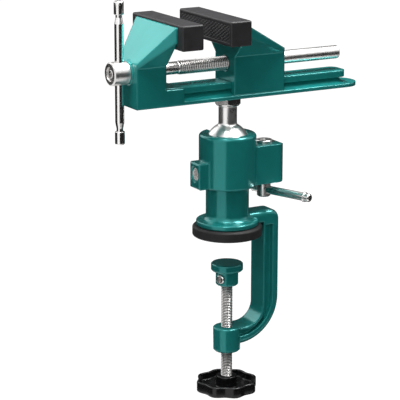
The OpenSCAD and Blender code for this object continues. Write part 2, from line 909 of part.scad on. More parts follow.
module lead_screw() {
  r_j = journal_d / 2;
  r_t = thread_d / 2;
  r_r = rod_d / 2;
  r_g = clip_groove_d / 2;
  groove_end_x = clip_x + clip_t + seat_gap;
  color(steel)
    difference() {
      lay_x(0, screw_z)
        turned([
          [0, journal_tip_x], [r_j - 0.4, journal_tip_x], [r_j, journal_tip_x + 0.4],
          [r_j, clip_x - seat_gap], [r_g, clip_x - seat_gap], [r_g, groove_end_x], [r_j, groove_end_x],
          [r_j, thread_x], [r_t - 0.1, thread_x + 0.9], [r_t, thread_x + 1],
          [r_t, thread_end_x - 0.8], [r_r, thread_end_x], [r_r, rod_end_x - 0.9],
          [r_r - 0.9, rod_end_x], [0, rod_end_x]
        ]);
      translate([bar_x, 0, screw_z - hub_d])
        cylinder(d = bar_d + 2 * run_gap, h = 2 * hub_d);
      lay_x(journal_tip_x - over, screw_z)
        cylinder(d = lock_d + 2 * seat_gap, h = bar_x - journal_tip_x + over);
    }
}

module screw_hub() {
  recess_d = 10.4;
  recess_t = 1;
  color(steel)
    difference() {
      lay_x(0, screw_z)
        bar(hub_d, hub_end_x, hub_x, 0.9, 0.5);
      lay_x(journal_tip_x - seat_gap, screw_z)
        cylinder(d = journal_d + 2 * seat_gap, h = hub_l);
      lay_x(hub_end_x - over, screw_z)
        cylinder(d = lock_d + 2 * seat_gap, h = bar_x - hub_end_x + over);
      lay_x(hub_end_x - over, screw_z)
        cylinder(d = recess_d, h = recess_t + over);
      translate([bar_x, 0, screw_z - hub_d])
        cylinder(d = bar_d + 2 * run_gap, h = 2 * hub_d);
    }
}

module hub_washer() {
  color(steel)
    difference() {
      lay_x(0, screw_z)
        bar(hub_d - 1, hub_x + seat_gap, hub_x + seat_gap + washer_t, 0.2, 0.2);
      lay_x(hub_x - over, screw_z)
        cylinder(d = journal_d + 2 * seat_gap, h = 10);
    }
}

module screw_clip() {
  color(steel)
    lay_x(0, screw_z)
      difference() {
        bar(journal_d + 5, clip_x, clip_x + clip_t, 0.1, 0.1);
        translate([0, 0, clip_x - over])
          cylinder(d = clip_groove_d + 2 * seat_gap, h = 10);
        translate([-1.6, 0, clip_x - over])
          cube([3.2, 20, 10]);
      }
}

module bar_lock_screw() {
  head_x = hub_end_x + 0.5;
  tip_x = bar_x - bar_d / 2 - run_gap;
  color(steel)
    lay_x(0, screw_z)
      difference() {
        bar(lock_d, head_x, tip_x, 0.4, 0.3);
        mirror([0, 0, 1])
          hex_socket(3, -head_x, 1.8);
      }
}

// Handle bar along Z, centred on the screw's axis
module tommy_bar() {
  r = bar_d / 2;
  neck_r = bar_neck_d / 2;
  spigot_r = bar_spigot_d / 2;
  end_z = bar_l / 2;
  knob_z = end_z - bar_knob_l;
  cone_z = knob_z - bar_neck_l;
  body_z = cone_z - bar_cone_l;
  color(steel)
    translate([bar_x, 0, screw_z])
      turned([
        [0, -end_z + 1.5], [spigot_r, -end_z + 1.5], [spigot_r, -knob_z + seat_gap],
        [neck_r, -knob_z + seat_gap], [neck_r, -cone_z], [r, -body_z],
        [r, body_z], [neck_r, cone_z], [neck_r, knob_z - seat_gap],
        [spigot_r, knob_z - seat_gap], [spigot_r, end_z - 1.5], [0, end_z - 1.5]
      ]);
}

// Knob pressed on an end of the handle bar, side 1 above and -1 below
module bar_knob(side) {
  color(steel)
    translate([bar_x, 0, screw_z])
      mirror([0, 0, side > 0 ? 0 : 1])
        difference() {
          bar(bar_knob_d, bar_l / 2 - bar_knob_l, bar_l / 2, 0.5, 0.9);
          translate([0, 0, bar_l / 2 - bar_knob_l - over])
            cylinder(d = bar_spigot_d + 2 * seat_gap, h = bar_knob_l - 1.5 + over + seat_gap);
        }
}

module bar_knob_upper() {
  bar_knob(1);
}

module bar_knob_lower() {
  bar_knob(-1);
}

module swivel_pad() {
  color(teal)
    difference() {
      union() {
        bar(pad_d, collar_top_z, pad_top_z, 0.8, 0.7);
        bar(collar_d, collar_z, collar_top_z + over, 0.8, 0);
      }
      translate([0, 0, collar_z - over])
        cylinder(d = spindle_d + 2 * run_gap, h = over + spindle_top_z - collar_z + seat_gap);
      rotate([0, 90, pad_screw_dir])
        translate([-pad_screw_z, 0, 0])
          cylinder(d = pad_shank_d + 2 * seat_gap, h = 20);
      rotate([0, 90, pad_screw_dir])
        translate([-pad_screw_z, 0, collar_d / 2 - 1])
          cylinder(d = pad_screw_head_d + 0.6, h = 10);
    }
}

module pad_screw() {
  head_r = collar_d / 2 - 1 + seat_gap;
  head_t = 2;
  slot_w = 1.1;
  color(steel)
    rotate([0, 90, pad_screw_dir])
      translate([-pad_screw_z, 0, 0])
        difference() {
          union() {
            bar(pad_shank_d, pad_groove_d / 2 + free_gap, head_r + over, 0.3, 0);
            bar(pad_screw_head_d, head_r, head_r + head_t, 0, 0.5);
          }
          translate([-10, -slot_w / 2, head_r + head_t - 0.9])
            cube([20, slot_w, 5]);
        }
}

module spindle() {
  r = spindle_d / 2;
  r_g = pad_groove_d / 2;
  groove_h = pad_shank_d / 2 + free_gap;
  color(steel)
    difference() {
      turned([
        [0, spindle_end_z], [r - 0.6, spindle_end_z], [r, spindle_end_z + 0.6],
        [r, pad_screw_z - groove_h], [r_g, pad_screw_z - groove_h],
        [r_g, pad_screw_z + groove_h], [r, pad_screw_z + groove_h],
        [r, spindle_top_z - 0.8], [r - 0.8, spindle_top_z], [0, spindle_top_z]
      ]);
      translate([0, 0, spindle_end_z - over])
        cylinder(d = 5 + 2 * seat_gap, h = 10);
    }
}

// Wavy outline of the hand wheel, set in by a
function wheel_outline(a) = [
  for (t = [0:3:357])
    let (r = wheel_d / 2 - a - lobe_depth * (1 - cos(wheel_lobes * (t - wheel_phase))) / 2)
      [r * cos(t), r * sin(t)]
];

module hand_wheel() {
  wall = 2.5;
  floor_t = 3;
  color(black)
    difference() {
      union() {
        difference() {
          translate([0, 0, wheel_bottom_z])
            linear_extrude(wheel_h)
              polygon(wheel_outline(0));
          translate([0, 0, wheel_bottom_z + floor_t])
            linear_extrude(wheel_h)
              polygon(wheel_outline(wall));
        }
        bar(wheel_hub_d, wheel_bottom_z, wheel_hub_rise - wheel_z, 0, 0.6);
      }
      translate([0, 0, spindle_end_z])
        cylinder(d = spindle_d + 2 * seat_gap, h = 20);
      translate([0, 0, wheel_bottom_z - over])
        cylinder(d = 5.4, h = 20);
      translate([0, 0, wheel_bottom_z - over])
        cylinder(d = 11, h = over + 2);
    }
}

module wheel_screw() {
  head_z = wheel_bottom_z + 2 - seat_gap;
  head_t = 1.7;
  color(steel)
    difference() {
      union() {
        bar(9.4, head_z - head_t, head_z, 0.6, 0);
        bar(5, head_z - 1, spindle_end_z + 7, 0, 0.5);
      }
      translate([-10, -0.6, head_z - head_t - over])
        cube([20, 1.2, over + 0.9]);
    }
}

clamp_frame();
bench_disc();
ball_seat();
socket_housing();
guide_screw();
brake_plunger();
cam_shaft();
cam_lever();
lever_knob();
ball_stud();
stud_nut();
base_rail();
fixed_cap();
lead_screw();
screw_hub();
hub_washer();
screw_clip();
bar_lock_screw();
tommy_bar();
bar_knob_upper();
bar_knob_lower();
moving_jaw();
moving_cap();
jaw_nut();
nut_lock_screw();
swivel_pad();
pad_screw();
spindle();
hand_wheel();
wheel_screw();
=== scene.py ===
"""Ball joint vise: finishes, cast and turned pieces, and a studio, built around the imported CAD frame.

Lengths are metres in the frame's own axes: the origin is on the post's axis at the bench top, +Z is up
and +X runs along the vise's screw from the handle to the rear.
"""

import json
import math

import bmesh
import bpy
import numpy as np
from bpy.props import FloatProperty, FloatVectorProperty, IntProperty, PointerProperty
from bpy.types import Operator, Panel, PropertyGroup
from mathutils import Matrix, Vector

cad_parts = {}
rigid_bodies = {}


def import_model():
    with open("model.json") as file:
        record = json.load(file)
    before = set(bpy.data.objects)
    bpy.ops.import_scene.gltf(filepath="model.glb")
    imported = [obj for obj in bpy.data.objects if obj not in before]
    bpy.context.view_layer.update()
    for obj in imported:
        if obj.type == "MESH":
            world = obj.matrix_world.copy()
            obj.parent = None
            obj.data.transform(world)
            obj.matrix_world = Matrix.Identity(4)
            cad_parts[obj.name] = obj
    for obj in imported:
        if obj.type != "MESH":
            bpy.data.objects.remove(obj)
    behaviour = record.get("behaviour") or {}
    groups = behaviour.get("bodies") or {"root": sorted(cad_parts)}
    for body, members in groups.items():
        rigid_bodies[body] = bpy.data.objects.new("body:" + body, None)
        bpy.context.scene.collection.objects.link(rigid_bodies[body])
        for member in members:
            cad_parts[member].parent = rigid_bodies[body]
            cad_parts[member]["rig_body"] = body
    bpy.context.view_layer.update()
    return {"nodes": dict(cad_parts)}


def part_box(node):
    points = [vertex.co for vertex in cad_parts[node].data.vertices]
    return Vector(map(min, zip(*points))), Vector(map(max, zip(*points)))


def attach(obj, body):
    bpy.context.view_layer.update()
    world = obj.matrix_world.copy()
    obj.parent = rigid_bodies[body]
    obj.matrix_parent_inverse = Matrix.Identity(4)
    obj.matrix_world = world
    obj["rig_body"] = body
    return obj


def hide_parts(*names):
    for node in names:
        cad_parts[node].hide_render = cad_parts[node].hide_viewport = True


bl_info = {
    "name": "Ball joint vise",
    "version": (1, 0, 0),
    "blender": (4, 5, 0),
    "location": "View3D > Sidebar > Vise",
    "description": "Builds the looks of a ball joint vise around its CAD frame",
    "category": "Object",
}

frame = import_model()
CAD = frame["nodes"]
MM = 0.001
# Play round a piece that sits in another
PLAY = 0.04 * MM
# Distance that keeps two points of a path from being welded
HAIR = 1e-6
# Turn between two faces from which their edge is shaded sharp
SHARP_DEG = 32.0
# Steps round a thread, and stations along one turn of its helix
THREAD_STEPS, THREAD_STATIONS = 64, 12
# Colour sockets of a Mix node, going in and coming out
MIX_IN, MIX_OUT = (6, 7), 2


# Settings


def tint(name, what, default):
    """Setting for the colour of what is named."""
    return FloatVectorProperty(
        name=name, description="Colour of the " + what, default=default, subtype="COLOR", size=3,
        min=0, max=1,
    )


def length(name, description, default, low, high):
    """Length setting, with its default and limits in mm."""
    return FloatProperty(
        name=name, description=description, default=default * MM, min=low * MM, max=high * MM,
        unit="LENGTH", precision=5,
    )


def angle(name, description, default, limit=math.pi):
    """Angle setting, with its default in degrees and its limit in radians."""
    return FloatProperty(
        name=name, description=description, default=math.radians(default), min=-limit, max=limit,
        subtype="ANGLE",
    )


def watts(name, where, default):
    """Setting for the power of the lamp that stands there."""
    return FloatProperty(
        name=name, description="Power of the soft lamp " + where, default=default, min=0, max=100,
        unit="POWER",
    )


class ViseFinish(PropertyGroup):
    """Colours of the finishes"""

    enamel: tint("Enamel", "painted castings", (0.016, 0.290, 0.272))
    cap: tint("Jaw cap", "jaw caps", (0.026, 0.025, 0.027))
    rubber: tint("Rubber", "rubber disc", (0.016, 0.015, 0.016))
    plastic: tint("Hand wheel", "moulded hand wheel", (0.009, 0.009, 0.010))
    chrome: tint("Bright steel", "polished steel pieces", (0.72, 0.71, 0.70))
    steel: tint("Screw steel", "plated screws", (0.60, 0.59, 0.58))
    bronze: tint("Bronze", "hidden bronze pieces", (0.45, 0.27, 0.11))


class ViseSizes(PropertyGroup):
    """Sizes that the dressed pieces add to the CAD frame's own"""

    casting_edge: length("Casting edge", "Rounding of the castings' outer edges", 1.8, 0, 3)
    block_edge: length("Head edge", "Rounding of the jaw castings' edges", 1.3, 0, 2)
    steel_edge: length("Steel edge", "Rounding of the small steel pieces' edges", 0.25, 0, 1)
    soft_edge: length("Soft crease", "Rounding of the creases on the flared jaw heads", 2.4, 0, 5)
    screw_pitch: length("Screw pitch", "Pitch of the lead screw's thread", 1.5, 0.5, 3)
    thread_length: length("Thread length", "Length of the lead screw's thread", 81, 50, 120)
    journal: length("Journal", "Diameter of the lead screw in the fixed jaw", 9.2, 8, 10)
    rod: length("Rod", "Diameter of the plain rod behind the lead screw's thread", 10, 8, 11)
    spindle_pitch: length("Spindle pitch", "Pitch of the clamping spindle's thread", 1.25, 0.5, 3)
    knurl_pitch: length("Knurl pitch", "Height of a diamond on a cap's gripping face", 2.6, 1, 4)
    knurl_depth: length("Knurl depth", "Depth of the grooves of a cap's gripping face", 0.5, 0, 1)
    knurl_stretch: FloatProperty(
        name="Knurl stretch", description="Width of a diamond as a multiple of its height",
        default=1.7, min=0.5, max=4,
    )
    cap_edge: length("Cap edge", "Rounding of a jaw cap's edges", 1.3, 0.2, 3)
    head_recess: length("Head recess", "Depth of a cap's recess for the casting's head", 2.7, 0, 5)
    head_cut: length("Head corner", "Size of the cut lower corners of a casting's head", 4.5, 0, 10)
    stem: length("Stem", "Diameter of the ball's stem", 13.6, 8, 16)
    wheel_lobes: IntProperty(
        name="Wheel lobes", description="Number of grips round the hand wheel", default=8, min=4, max=12,
    )
    wheel_phase: angle("Wheel phase", "Direction of a grip of the hand wheel", -10.5)
    lobe_depth: length("Lobe depth", "Depth of the hollows between the wheel's grips", 2.2, 0, 4)
    wheel_rim: length("Rim height", "Height of the hand wheel's rim", 8.4, 4, 20)
    wheel_wall: length("Rim wall", "Thickness of the hand wheel's rim", 2.5, 1, 6)


class ViseStudio(PropertyGroup):
    """Floor, lamps and camera"""

    floor_colour: tint("Floor", "floor", (0.45, 0.45, 0.45))
    floor_drop: length("Floor drop", "Distance of the floor below the hand wheel", 250, 0, 1000)
    key_power: watts("Key lamp", "almost straight above", 15.0)
    fill_power: watts("Fill lamp", "at the front", 0.34)
    window_power: watts("Window lamp", "behind, to the left", 2.0)
    ambient: FloatProperty(
        name="Ambient", description="Strength of the even light from all round",
        default=0.17, min=0, max=2,
    )
    whiteness: FloatProperty(
        name="Whiteness", description="Glow of the background to the camera and in reflections",
        default=1.3, min=0, max=3,
    )
    camera_azimuth: angle("Camera azimuth", "Direction of the camera round the post", -29.493)
    camera_elevation: angle("Camera elevation", "Height of the camera as an angle", 14.419, 1.5)
    camera_roll: angle("Camera roll", "Turn of the camera about its own axis", 0.064, 1.5)
    camera_distance: length("Camera distance", "Distance from camera to target", 1385.28, 100, 10000)
    camera_lens: FloatProperty(
        name="Lens", description="Focal length in mm for a 36 mm wide picture",
        default=167.625, min=10, max=500,
    )


def settings(context):
    """The scene's three groups of settings."""
    scene = context.scene
    return scene.vise_finish, scene.vise_sizes, scene.vise_studio


# Profiles and surfaces


def rounded_path(corners, steps=5):
    """Polyline through (u, v, r) corners with each corner replaced by an arc of radius r.

    An arc starts and ends at r * tan(half of the turn) from its corner; its points lie at equal
    angles about the centre, which is on the corner's bisector. A corner with r = 0 stays sharp.
    """
    corners = np.asarray(corners, float)
    out = [corners[0, :2]]
    for before, corner, after in zip(corners[:-2], corners[1:-1], corners[2:]):
        place, radius = corner[:2], corner[2]
        inward = (before[:2] - place) / np.linalg.norm(before[:2] - place)
        onward = (after[:2] - place) / np.linalg.norm(after[:2] - place)
        half = math.acos(np.clip(np.dot(inward, onward), -1, 1)) / 2
        straight = abs(half - math.pi / 2) < 1e-4
        if radius <= 0 or straight:
            out.append(place)
            continue
        bisector = (inward + onward) / np.linalg.norm(inward + onward)
        centre = place + bisector * radius / math.sin(half)
        first = place + inward * radius / math.tan(half) - centre
        last = place + onward * radius / math.tan(half) - centre
        sweep = math.atan2(first[0] * last[1] - first[1] * last[0], first @ last)
        t = np.linspace(0, sweep, steps + 1)
        turned = np.stack([
            first[0] * np.cos(t) - first[1] * np.sin(t),
            first[0] * np.sin(t) + first[1] * np.cos(t),
        ], axis=-1)
        out.extend(centre + turned)
    out.append(corners[-1, :2])
    return np.array(out)


def circle(steps):
    """Angles of a full turn in equal steps, the last one equal to the first, as a column."""
    t = np.linspace(0, 2 * math.pi, steps + 1)
    t[-1] = 0
    return t[:, None]


def polar(radius, turn, z):
    """Points x = radius cos turn, y = radius sin turn at height z, on the grid that the three span."""
    return np.stack(np.broadcast_arrays(radius * np.cos(turn), radius * np.sin(turn), z), axis=-1)


def revolve(path, steps=96):
    """Path of (radius, height) turned about Z on a (turn, path) grid."""
    return polar(path[:, 0], circle(steps), path[:, 1])


def cylinder(radius, low, high):
    """Plain cylinder about Z from height low to high, closed at both ends."""
    return revolve(np.array([[0, low], [radius, low], [radius, high], [0, high]]), 48)


def along_x(points, z):
    """Points drawn about Z laid along X at height z: x is the old height, and the turn runs in YZ."""
    return np.stack([points[..., 2], points[..., 1], z - points[..., 0]], axis=-1)


def prism(outline, x0, x1):
    """Closed outline of (y, z) points drawn out from x0 to x1 on an (outline, path) grid.

    A point is centre + s * (outline - centre) with s = 0, 1, 1, 0 along the path, so that both ends close.
    """
    ring = np.concatenate([outline, outline[:1]])
    centre = outline.mean(axis=0)
    share = np.array([0.0, 1.0, 1.0, 0.0])[None, :, None]
    yz = centre + share * (ring - centre)[:, None, :]
    x = np.broadcast_to(np.array([x0, x0, x1, x1]), yz.shape[:2])
    return np.concatenate([x[..., None], yz], axis=-1)


def moved(points, x, y, z):
    """Points shifted by (x, y, z)."""
    return points + np.array([x, y, z])


def helix(start, end, ends_r, crest_r, depth, pitch, widening=1.0):
    """Thread surface about Z from height start to end on a (turn, station) grid.

    A station advances along the helix: z = start + pitch * (station / stations in a turn - turn). The
    radius is crest_r less depth times the thread's wave: flat crest, flank and rounded root. At each end
    it stays within ends_r plus widening times the distance from that end. Stations beyond an end are
    held at it, so that the first and last columns are plain circles.
    """
    turns = (end - start) / pitch
    station = np.arange(0, int(math.ceil((turns + 1) * THREAD_STATIONS)) + 1) / THREAD_STATIONS
    share = np.linspace(0, 1, THREAD_STEPS + 1)[:, None]
    z = start + pitch * (station - share)
    phase = np.mod(station, 1.0) * np.ones_like(share)
    crest_start, flank, rounding = 0.92, 0.80, 0.35
    ridge = np.abs(phase - 0.5) * 2
    wave = np.clip((crest_start - ridge) / flank, 0, 1)
    wave = wave * wave * (3 - 2 * wave) * rounding + wave * (1 - rounding)
    z_held = np.clip(z, start, end)
    from_start = ends_r[0] + (z_held - start) * widening
    from_end = ends_r[1] + (end - z_held) * widening
    radius = np.minimum(crest_r - depth * wave, np.minimum(from_start, from_end))
    return polar(radius, circle(THREAD_STEPS), z_held)


def with_thread(front, thread, rear):
    """Turned path, thread and turned path side by side on one grid."""
    return np.concatenate([revolve(front, THREAD_STEPS), thread, revolve(rear, THREAD_STEPS)], axis=1)


def volume(points, triangles):
    """Signed volume inside a closed set of triangles, as the sum of their tetrahedra to the origin."""
    a, b, c = (points[triangles[:, corner]] for corner in range(3))
    return np.einsum("ij,ij->i", a, np.cross(b, c)).sum() / 6


def weld(points, tolerance=1e-7):
    """Distinct points of a list, and each listed point's number among them."""
    keys = np.round(points / tolerance) + 0.0
    _, first, index = np.unique(keys, axis=0, return_index=True, return_inverse=True)
    return points[first], index.ravel()


def grid_faces(index):
    """Quads between neighbouring rows and columns of a grid of vertex numbers."""
    corners = [index[:-1, :-1], index[1:, :-1], index[1:, 1:], index[:-1, 1:]]
    return np.stack(corners, axis=-1).reshape(-1, 4)


def shade_smooth(mesh, sharp_deg=SHARP_DEG):
    """Smooth shading, but for edges where the faces meet at more than sharp_deg."""
    mesh.polygons.foreach_set("use_smooth", np.ones(len(mesh.polygons), bool))
    mesh.set_sharp_from_angle(angle=math.radians(sharp_deg))


def add_object(name, data):
    """New object in the scene."""
    added = bpy.data.objects.new(name, data)
    bpy.context.scene.collection.objects.link(added)
    return added


def make_mesh(name, points, quads, sharp_deg):
    """Mesh of quads, turned to face outwards, with collapsed quads made triangles or dropped."""
    triangles = np.concatenate([quads[:, [0, 1, 2]], quads[:, [0, 2, 3]]])
    if volume(points, triangles) < 0:
        quads = quads[:, ::-1]
    same = quads == np.roll(quads, -1, axis=1)
    whole = quads[~same.any(axis=1)]
    folded = same.sum(axis=1) == 1
    threes = quads[folded][~same[folded]].reshape(-1, 3)
    mesh = bpy.data.meshes.new(name)
    corners = np.concatenate([whole.ravel(), threes.ravel()]).astype(np.int32)
    sizes = np.concatenate([np.full(len(whole), 4), np.full(len(threes), 3)]).astype(np.int32)
    starts = np.concatenate([[0], np.cumsum(sizes)[:-1]]).astype(np.int32)
    mesh.vertices.add(len(points))
    mesh.vertices.foreach_set("co", points.astype(np.float32).ravel())
    mesh.loops.add(len(corners))
    mesh.loops.foreach_set("vertex_index", corners)
    mesh.polygons.add(len(sizes))
    mesh.polygons.foreach_set("loop_start", starts)
    mesh.update(calc_edges=True)
    mesh.validate()
    shade_smooth(mesh, sharp_deg)
    return mesh


def surface(name, *grids, sharp_deg=SHARP_DEG):
    """Object made of one or more grids of points, welded where they meet."""
    sizes = [g.shape[0] * g.shape[1] for g in grids]
    points, index = weld(np.concatenate([g.reshape(-1, 3) for g in grids]))
    starts = np.concatenate([[0], np.cumsum(sizes)])
    quads = np.concatenate([
        grid_faces(index[s:s + n].reshape(g.shape[:2])) for g, s, n in zip(grids, starts, sizes)
    ])
    return add_object(name, make_mesh(name, points, quads, sharp_deg))


def carve(piece, *cutters):
    """Takes the cutters out of the piece and removes them."""
    for cutter in cutters:
        cut = piece.modifiers.new(cutter.name, "BOOLEAN")
        cut.operation = "DIFFERENCE"
        cut.solver = "EXACT"
        cut.object = cutter
    bpy.context.view_layer.update()
    graph = bpy.context.evaluated_depsgraph_get()
    graph.update()
    mesh = bpy.data.meshes.new_from_object(piece.evaluated_get(graph))
    mesh.name = piece.name
    piece.modifiers.clear()
    piece.data = mesh
    for cutter in cutters:
        bpy.data.objects.remove(cutter)
    shade_smooth(mesh)


def dress(piece, finish, body, *nodes, slot=None):
    """Gives a piece its finish, lets it ride on a body and stand for CAD nodes."""
    piece.data.materials.clear()
    piece.data.materials.append(finish)
    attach(piece, body)
    if nodes:
        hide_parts(*nodes)


def finish_node(node, finish):
    """Gives a CAD node a finish through its object's material slots."""
    piece = CAD[node]
    if not piece.material_slots:
        piece.data.materials.append(finish)
    for place in piece.material_slots:
        place.link = "OBJECT"
        place.material = finish


def merged(node, name):
    """Copy of a CAD node's mesh, and its edit form with loose triangles welded and flat faces whole."""
    mesh = CAD[node].data.copy()
    mesh.name = name
    work = bmesh.new()
    work.from_mesh(mesh)
    nearest, flat_deg = 2e-6, 0.6
    bmesh.ops.remove_doubles(work, verts=work.verts, dist=nearest)
    bmesh.ops.dissolve_degenerate(work, dist=nearest, edges=work.edges)
    bmesh.ops.dissolve_limit(
        work, angle_limit=math.radians(flat_deg), use_dissolve_boundaries=False,
        verts=work.verts, edges=work.edges,
    )
    return mesh, work


def creases(work):
    """Each edge between two faces, the degrees it turns by and the smaller face's area in mm2."""
    for edge in work.edges:
        if len(edge.link_faces) == 2:
            area = min(face.calc_area() for face in edge.link_faces)
            yield edge, math.degrees(edge.calc_face_angle(0)), area * 1e6


def soften(work, width):
    """Rounds the creases between large flat faces that meet at a slant."""
    low_deg, high_deg, least_area = 12.0, 62.0, 60.0
    slanting = [
        edge for edge, turn, area in creases(work) if low_deg < turn < high_deg and area > least_area
    ]
    bmesh.ops.bevel(
        work, geom=slanting, offset=width, offset_type="OFFSET", segments=6, profile=0.5, affect="EDGES",
        clamp_overlap=True,
    )


def cast_copy(node, name, radius, segments=3, soft=0.0):
    """Copy of a CAD node with rounded edges.

    An edge is rounded where its two faces meet at more than sharp_deg, or at more than flat_deg where
    both are large flat faces. With soft, slanting creases are first rounded by that width.
    """
    sharp_deg, least_area = 28.0, 20.0
    flat_deg = 20.0 if soft else 7.0
    mesh, work = merged(node, name)
    if soft:
        soften(work, soft)
    layer = work.edges.layers.float.new("bevel_weight_edge")
    for edge, turn, area in creases(work):
        if turn > sharp_deg or (turn > flat_deg and area > least_area):
            edge[layer] = 1.0
    work.to_mesh(mesh)
    work.free()
    if "custom_normal" in mesh.attributes:
        mesh.attributes.remove(mesh.attributes["custom_normal"])
    mesh.polygons.foreach_set("use_smooth", np.ones(len(mesh.polygons), bool))
    mesh.update()
    piece = add_object(name, mesh)
    bevel = piece.modifiers.new("Rounded edges", "BEVEL")
    bevel.limit_method = "WEIGHT"
    bevel.width = radius
    bevel.segments = segments
    bevel.use_clamp_overlap = True
    bevel.miter_outer = "MITER_ARC"
    even = piece.modifiers.new("Even normals", "WEIGHTED_NORMAL")
    even.keep_sharp = True
    even.weight = 80
    return piece


# Finishes


class Tree:
    """A node tree with short calls for adding and joining nodes."""

    def __init__(self, owner):
        owner.use_nodes = True
        self.nodes = owner.node_tree.nodes
        self.links = owner.node_tree.links

    def add(self, kind, **inputs):
        """New node with its inputs set."""
        node = self.nodes.new(kind)
        for key, value in inputs.items():
            node.inputs[key.replace("_", " ")].default_value = value
        return node

    def join(self, source, target):
        """Link from an output to an input."""
        self.links.new(source, target)


class Nodes(Tree):
    """The node tree of a new material, with calls for the parts of a finish."""

    def __init__(self, name):
        self.material = bpy.data.materials.new(name)
        super().__init__(self.material)
        self.shader = self.nodes["Principled BSDF"]

    def set(self, **inputs):
        """Values of the shader's own inputs."""
        for key, value in inputs.items():
            self.shader.inputs[key.replace("_", " ")].default_value = value

    def place(self, **inputs):
        """Place on the object, shifted and scaled along its axes."""
        mapping = self.add("ShaderNodeMapping", **inputs)
        self.join(self.add("ShaderNodeTexCoord").outputs["Object"], mapping.inputs["Vector"])
        return mapping.outputs["Vector"]

    def noise(self, scale, detail=3.0, roughness=0.5, lay=(1, 1, 1)):
        """Soft noise on the object, stretched along its axes by lay."""
        node = self.add("ShaderNodeTexNoise", Scale=scale, Detail=detail, Roughness=roughness)
        self.join(self.place(Scale=lay), node.inputs["Vector"])
        return node.outputs["Fac"]

    def ramp(self, source, low, high, start=0.3, stop=0.7):
        """Value from low to high as the source goes from start to stop."""
        node = self.add("ShaderNodeMapRange", From_Min=start, From_Max=stop, To_Min=low, To_Max=high)
        self.join(source, node.inputs["Value"])
        return node.outputs["Result"]

    def shade(self, source, colour, dark, light, start=0.3, stop=0.7):
        """Base colour from dark to light times the colour as the source goes from start to stop."""
        node = self.add("ShaderNodeMix")
        node.data_type = "RGBA"
        self.join(self.ramp(source, 0, 1, start, stop), node.inputs["Factor"])
        for place, factor in zip(MIX_IN, (dark, light)):
            node.inputs[place].default_value = (*scaled(colour, factor), 1)
        self.join(node.outputs[MIX_OUT], self.shader.inputs["Base Color"])

    def gloss(self, source, low, high):
        """Roughness between low and high."""
        self.join(self.ramp(source, low, high), self.shader.inputs["Roughness"])

    def bare_metal(self, rough):
        """Metal with a drifting gloss."""
        self.gloss(self.noise(140.0), *rough)
        self.set(Metallic=1.0)
        return self.material

    def bump(self, source, distance, strength, edge=0.0):
        """Small relief from a source, on top of edges that look rounded by a radius."""
        node = self.add("ShaderNodeBump", Strength=strength, Distance=distance)
        self.join(source, node.inputs["Height"])
        if edge:
            rounding = self.add("ShaderNodeBevel", Radius=edge)
            rounding.samples = 8
            self.join(rounding.outputs["Normal"], node.inputs["Normal"])
        self.join(node.outputs["Normal"], self.shader.inputs["Normal"])


def scaled(colour, factor):
    """A colour made lighter or darker."""
    return tuple(min(1.0, c * factor) for c in colour)


def enamel(colour, edge):
    """Glossy sprayed enamel: soft colour drift, a faint orange-peel ripple and an uneven gloss."""
    n = Nodes("Enamel")
    n.shade(n.noise(45.0, 2.0), colour, 0.94, 1.06)
    n.bump(n.noise(320.0, 1.0), 0.01 * MM, 0.35, edge)
    n.gloss(n.noise(120.0, 2.0), 0.15, 0.20)
    n.set(Specular_IOR_Level=1.0, Specular_Tint=(0.28, 1.0, 0.98, 1.0))
    return n.material


def cap_plastic(colour):
    """Matt moulded cap with a pebbled surface."""
    n = Nodes("Jaw cap")
    n.shade(n.noise(120.0), colour, 0.85, 1.3)
    n.bump(n.noise(1400.0, 3.0, 0.6), 0.03 * MM, 0.5)
    n.gloss(n.noise(300.0), 0.40, 0.50)
    n.set(Specular_IOR_Level=0.30)
    return n.material


def rubber(colour):
    """Matt black rubber with a fine moulded grain."""
    n = Nodes("Rubber")
    n.shade(n.noise(160.0), colour, 0.8, 1.35)
    n.bump(n.noise(1600.0, 4.0, 0.65), 0.05 * MM, 0.7)
    n.gloss(n.noise(240.0), 0.50, 0.64)
    n.set(Specular_IOR_Level=0.25)
    return n.material


def wheel_plastic(colour):
    """Glossy moulded plastic with a faint flow ripple."""
    n = Nodes("Wheel plastic")
    n.shade(n.noise(90.0, 2.0), colour, 0.85, 1.25)
    n.bump(n.noise(420.0, 2.0), 0.03 * MM, 0.5)
    n.gloss(n.noise(200.0), 0.14, 0.20)
    n.set(Specular_IOR_Level=0.30)
    return n.material


def turned_metal(name, colour, rough, lay):
    """Turned metal: tool marks that are fine along one axis and long across it.

    lay holds the scale of the marks along X, Y and Z.
    """
    n = Nodes(name)
    marks = n.noise(1.0, 4.0, 0.6, lay)
    n.bump(marks, 0.004 * MM, 0.6)
    n.shade(marks, colour, 0.92, 1.05)
    return n.bare_metal(rough)


def painted_groove_shade_metal(name, colour, rough, axis_z, along, root, crest):
    """Screw steel with painted shade in its thread grooves: darker from the crest's radius down to the
    root's.

    The radius is the length of the place's parts across the screw's axis, which runs along X or Z.
    """
    n = Nodes(name)
    across = (0, 1, 1) if along == "X" else (1, 1, 0)
    radius = n.add("ShaderNodeVectorMath")
    radius.operation = "LENGTH"
    n.join(n.place(Location=(0, 0, -axis_z), Scale=across), radius.inputs[0])
    # Painted shade: the base colour drops to a tenth of the steel's at the thread's root, standing in for
    # the shade in the grooves
    n.shade(radius.outputs["Value"], colour, 0.10, 1.05, root, crest)
    return n.bare_metal(rough)


FINISHES = {}


